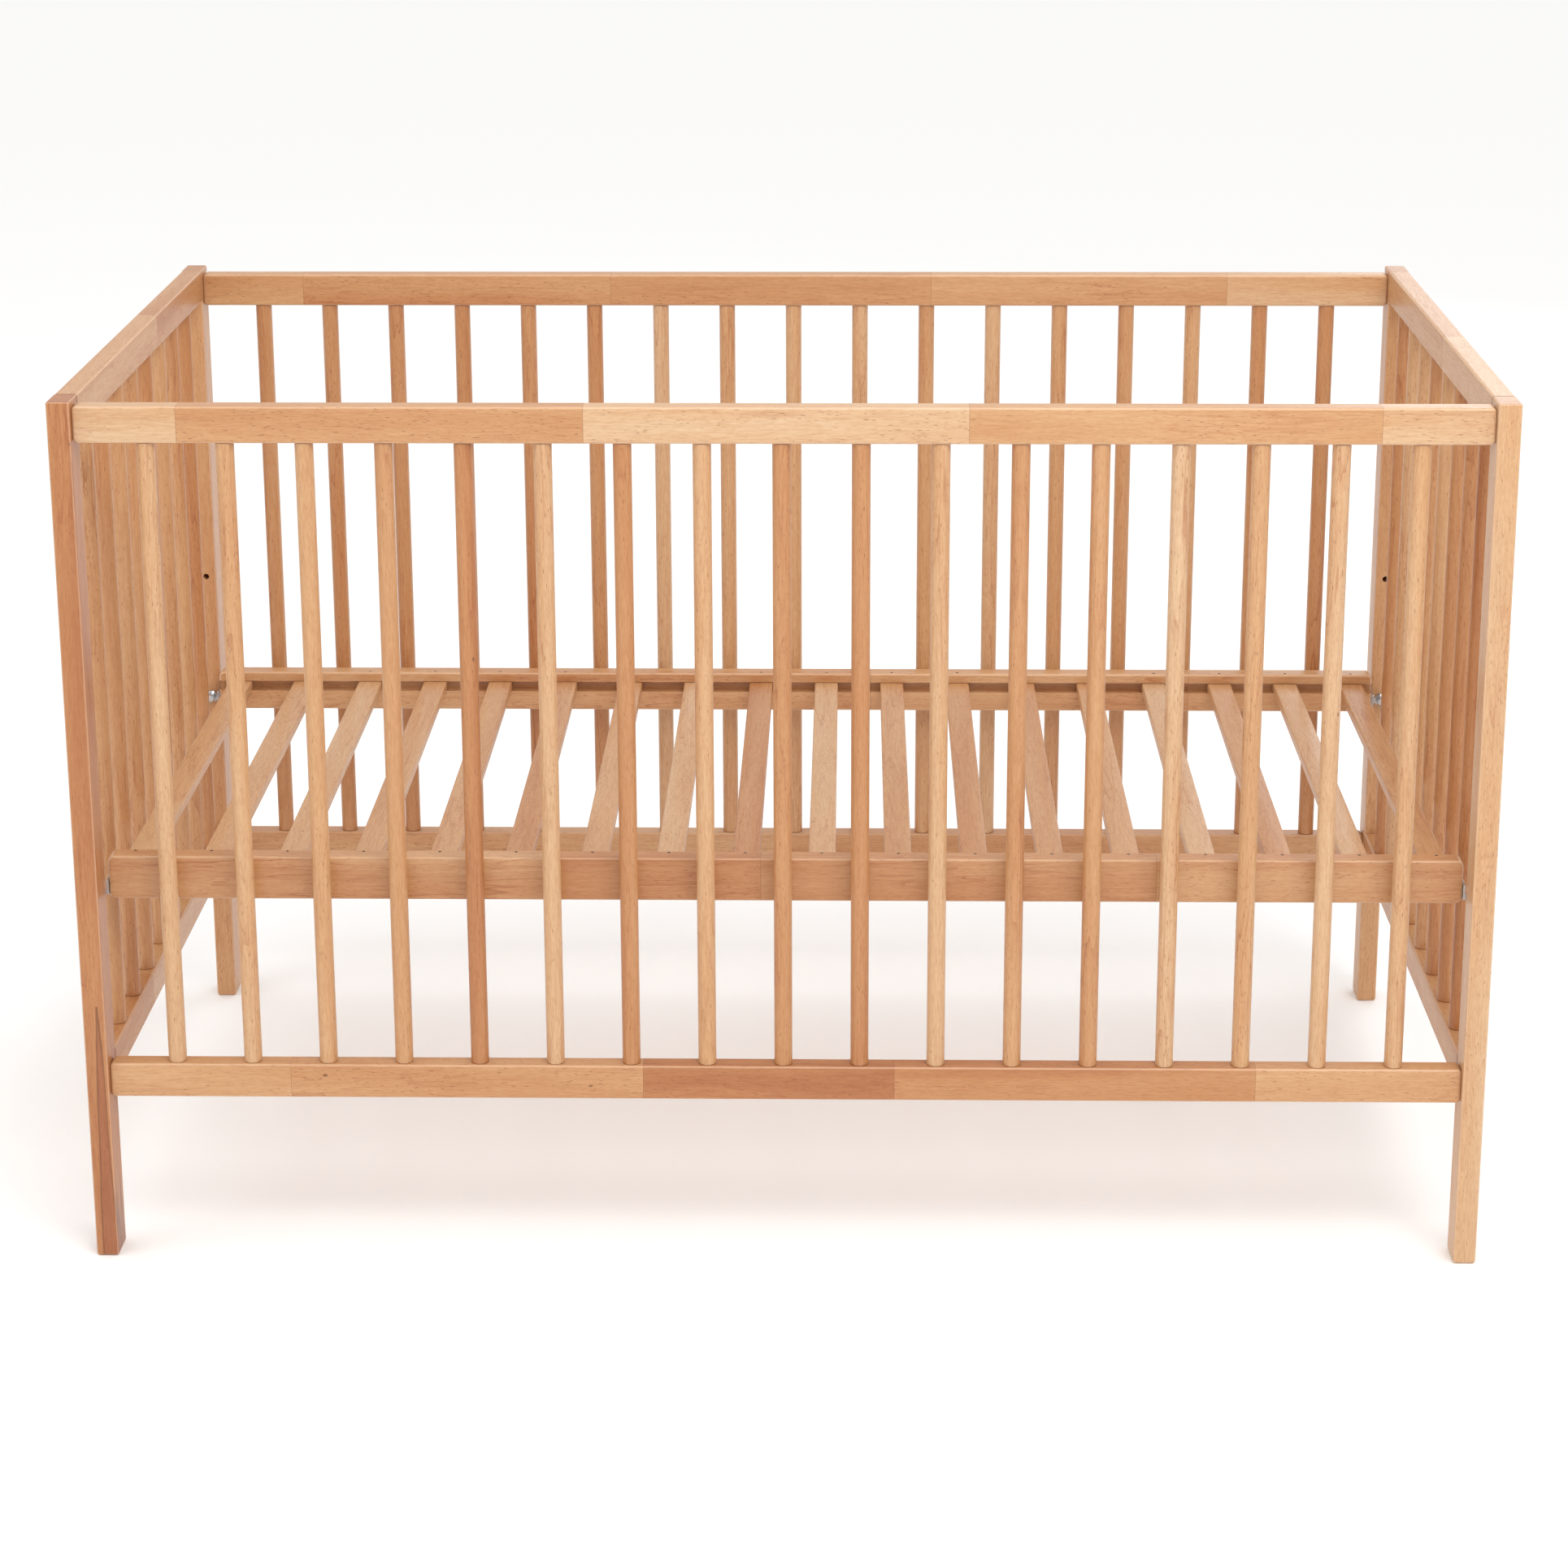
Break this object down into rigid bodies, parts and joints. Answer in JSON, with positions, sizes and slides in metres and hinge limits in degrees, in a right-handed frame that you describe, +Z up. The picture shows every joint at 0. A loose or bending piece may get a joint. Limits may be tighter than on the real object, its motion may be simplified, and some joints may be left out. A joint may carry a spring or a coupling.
{
  "type": "baby cot",
  "caption": "Slatted wooden baby cot with upright round bars on all four sides and a slatted bed base that hooks onto wing screws at two heights.",
  "frame": {"origin": "centre of the footprint on the floor", "axes": "+X along the cot's length, +Y from the front side panel to the back one, +Z up"},
  "size_m": [1.249, 0.664, 0.79],
  "materials": {
    "frame_beech": "satin",
    "bar_beech": "satin",
    "base_beech": "satin",
    "yellow_zinc": "satin",
    "bright_zinc": "satin",
    "nail_steel": "satin"
  },
  "bodies": {
    "frame": {"post_front_left": "frame_beech", "post_front_right": "frame_beech", "post_back_left": "frame_beech", "post_back_right": "frame_beech", "side_rail_front_top": "frame_beech", "side_rail_front_bottom": "frame_beech", "side_rail_back_top": "frame_beech", "side_rail_back_bottom": "frame_beech", "end_rail_left_top": "frame_beech", "end_rail_left_bottom": "frame_beech", "end_rail_right_top": "frame_beech", "end_rail_right_bottom": "frame_beech", "front_bar_01": "bar_beech", "front_bar_02": "bar_beech", "front_bar_03": "bar_beech", "front_bar_04": "bar_beech", "front_bar_05": "bar_beech", "front_bar_06": "bar_beech", "front_bar_07": "bar_beech", "front_bar_08": "bar_beech", "front_bar_09": "bar_beech", "front_bar_10": "bar_beech", "front_bar_11": "bar_beech", "front_bar_12": "bar_beech", "front_bar_13": "bar_beech", "front_bar_14": "bar_beech", "front_bar_15": "bar_beech", "front_bar_16": "bar_beech", "front_bar_17": "bar_beech", "back_bars": "bar_beech", "end_bars": "bar_beech", "corner_bolts": "yellow_zinc", "barrel_nuts": "bright_zinc"},
    "bed_base": {"base_rail_front": "base_beech", "base_rail_back": "base_beech", "slat_01": "base_beech", "slat_02": "base_beech", "slat_03": "base_beech", "slat_04": "base_beech", "slat_05": "base_beech", "slat_06": "base_beech", "slat_07": "base_beech", "slat_08": "base_beech", "slat_09": "base_beech", "slat_10": "base_beech", "slat_11": "base_beech", "slat_12": "base_beech", "slat_13": "base_beech", "slat_14": "base_beech", "slat_15": "base_beech", "slat_16": "base_beech", "slat_17": "base_beech", "slat_18": "base_beech", "slat_nails": "nail_steel", "base_tabs": "bright_zinc", "tab_screws": "bright_zinc"},
    "wing_screw_front_left": {"wing_screw_front_left": "bright_zinc"},
    "wing_screw_front_right": {"wing_screw_front_right": "bright_zinc"},
    "wing_screw_back_left": {"wing_screw_back_left": "bright_zinc"},
    "wing_screw_back_right": {"wing_screw_back_right": "bright_zinc"}
  },
  "joints": [
    {"name": "base_lift", "type": "slide", "parent": "frame", "child": "bed_base", "axis": [0, 0, 1], "range_m": [0, 0.13]},
    {"name": "wing_screw_front_left_turn", "type": "hinge", "parent": "frame", "child": "wing_screw_front_left", "pos_m": [-0.6125, -0.298, 0.338], "axis": [0, 1, 0], "continuous": true},
    {"name": "wing_screw_front_right_turn", "type": "hinge", "parent": "frame", "child": "wing_screw_front_right", "pos_m": [0.6125, -0.298, 0.338], "axis": [0, 1, 0], "continuous": true},
    {"name": "wing_screw_back_left_turn", "type": "hinge", "parent": "frame", "child": "wing_screw_back_left", "pos_m": [-0.6125, 0.298, 0.338], "axis": [0, 1, 0], "continuous": true},
    {"name": "wing_screw_back_right_turn", "type": "hinge", "parent": "frame", "child": "wing_screw_back_right", "pos_m": [0.6125, 0.298, 0.338], "axis": [0, 1, 0], "continuous": true}
  ]
}
